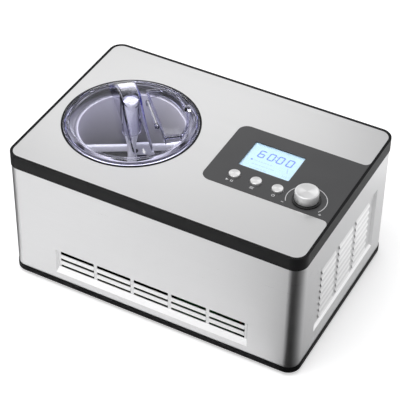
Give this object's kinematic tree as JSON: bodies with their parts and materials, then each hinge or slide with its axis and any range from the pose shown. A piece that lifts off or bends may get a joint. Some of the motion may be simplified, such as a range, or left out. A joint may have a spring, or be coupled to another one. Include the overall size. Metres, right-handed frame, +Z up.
{
  "type": "ice cream maker",
  "caption": "Countertop compressor ice cream maker: brushed steel box, clear lid with bow handle and filler flap over a lift-out bowl, dark control panel with display, buttons and dial.",
  "frame": {"origin": "centre of the footprint, on the surface that the feet stand on", "axes": "+X to the right (control panel side), +Y to the back, +Z up"},
  "size_m": [0.425, 0.285, 0.249],
  "materials": {
    "case_steel": "brushed horizontally",
    "plate_steel": "fine satin",
    "frame_plastic": "satin black",
    "panel_plastic": "satin dark grey",
    "foot_rubber": "matte",
    "fastener_steel": "bright",
    "clear_lid": "clear with a faint violet tint",
    "display_window": "clear",
    "display_face": "backlit pale blue",
    "circuit_board": "solder mask",
    "switch_plastic": "matte",
    "spun_metal": "spun",
    "encoder_metal": "plain",
    "bowl_aluminium": "satin",
    "well_aluminium": "plain",
    "copper_tube": "drawn copper",
    "foam": "moulded foam",
    "paddle_plastic": "smooth off-white",
    "gear_plastic": "natural",
    "bronze": "sintered",
    "motor_steel": "zinc plated",
    "gearbox_plastic": "moulded",
    "compressor_paint": "black paint",
    "fin_aluminium": "thin sheet",
    "wire_insulation": "smooth"
  },
  "bodies": {
    "chassis": {"base_pan": "frame_plastic", "board_screws": "fastener_steel", "capillary_tube": "copper_tube", "compressor": "compressor_paint", "compressor_bolts": "fastener_steel", "compressor_grommets": "foot_rubber", "compressor_relay": "paddle_plastic", "condenser_fins": "fin_aluminium", "condenser_tube": "copper_tube", "control_board": "circuit_board", "control_panel": "panel_plastic", "cord_gland": "frame_plastic", "dial_collar": "frame_plastic", "dial_encoder": "encoder_metal", "discharge_line": "copper_tube", "display_lens": "display_window", "drive_bush": "bronze", "drive_motor": "motor_steel", "evaporator_coil": "copper_tube", "fan_motor": "motor_steel", "fan_shroud": "frame_plastic", "feet": "foot_rubber", "filter_drier": "copper_tube", "foot_screws": "fastener_steel", "gear_cover": "gearbox_plastic", "gear_housing": "gearbox_plastic", "gearbox_screws": "fastener_steel", "idler_pin": "fastener_steel", "lcd_module": "display_face", "lid_ring": "frame_plastic", "outer_case": "case_steel", "power_board": "circuit_board", "rear_panel": "case_steel", "rear_screws": "fastener_steel", "shaft_seal": "foot_rubber", "suction_line": "copper_tube", "tact_switches": "switch_plastic", "temperature_sensor": "encoder_metal", "top_frame": "frame_plastic", "top_plate": "plate_steel", "well": "well_aluminium", "well_insulation": "foam", "wiring": "wire_insulation"},
    "lid_seal": {"lid_gasket": "foot_rubber"},
    "lid": {"lid": "clear_lid", "flap_pin": "fastener_steel"},
    "flap": {"filler_flap": "clear_lid"},
    "bowl": {"bowl": "bowl_aluminium"},
    "drive": {"drive_shaft": "fastener_steel", "drive_gear": "gear_plastic"},
    "paddle": {"paddle": "paddle_plastic"},
    "idler": {"idler_gear": "gear_plastic"},
    "motor_rotor": {"motor_pinion": "fastener_steel"},
    "fan": {"fan_blade": "paddle_plastic"},
    "dial": {"dial_knob": "spun_metal", "encoder_shaft": "fastener_steel"},
    "start": {"start_button": "spun_metal"},
    "menu": {"menu_button": "spun_metal"},
    "power": {"power_button": "spun_metal"}
  },
  "joints": [
    {"name": "lid_lift", "type": "slide", "parent": "chassis", "child": "lid_seal", "axis": [0, 0, 1], "range_m": [0, 0.36]},
    {"name": "lid_turn", "type": "hinge", "parent": "lid_seal", "child": "lid", "pos_m": [-0.1025, -0.0065, 0.204], "axis": [0, 0, 1], "range_deg": [0, 20]},
    {"name": "flap_hinge", "type": "hinge", "parent": "lid", "child": "flap", "pos_m": [-0.08166, 0.01294, 0.212], "axis": [0.682, -0.7314, 0], "range_deg": [0, 100]},
    {"name": "bowl_lift", "type": "slide", "parent": "chassis", "child": "bowl", "axis": [0, 0, 1], "range_m": [0, 0.126]},
    {"name": "drive_turn", "type": "hinge", "parent": "chassis", "child": "drive", "pos_m": [-0.1025, -0.0065, 0.08], "axis": [0, 0, 1], "continuous": true},
    {"name": "paddle_lift", "type": "slide", "parent": "drive", "child": "paddle", "axis": [0, 0, 1], "range_m": [0, 0.248]},
    {"name": "idler_turn", "type": "hinge", "parent": "chassis", "child": "idler", "pos_m": [-0.0715, -0.0065, 0.05], "axis": [0, 0, 1], "continuous": true},
    {"name": "motor_turn", "type": "hinge", "parent": "chassis", "child": "motor_rotor", "pos_m": [-0.0405, -0.0065, 0.04], "axis": [0, 0, 1], "continuous": true},
    {"name": "fan_turn", "type": "hinge", "parent": "chassis", "child": "fan", "pos_m": [0.152, 0, 0.086], "axis": [1, 0, 0], "continuous": true},
    {"name": "dial_turn", "type": "hinge", "parent": "chassis", "child": "dial", "pos_m": [0.1668, -0.0363, 0.204], "axis": [0, 0, 1], "continuous": true},
    {"name": "start_press", "type": "slide", "parent": "chassis", "child": "start", "axis": [0, 0, 1], "range_m": [-0.001, 0], "stiffness_N_per_m": 600},
    {"name": "menu_press", "type": "slide", "parent": "chassis", "child": "menu", "axis": [0, 0, 1], "range_m": [-0.001, 0], "stiffness_N_per_m": 600},
    {"name": "power_press", "type": "slide", "parent": "chassis", "child": "power", "axis": [0, 0, 1], "range_m": [-0.001, 0], "stiffness_N_per_m": 600}
  ],
  "couplings": [
    {"joint": "bowl_lift", "follows": "lid_lift", "ratio": 0.345},
    {"joint": "paddle_lift", "follows": "lid_lift", "ratio": 0.685},
    {"joint": "idler_turn", "follows": "drive_turn", "ratio": -3.4286},
    {"joint": "motor_turn", "follows": "drive_turn", "ratio": 11.755}
  ]
}
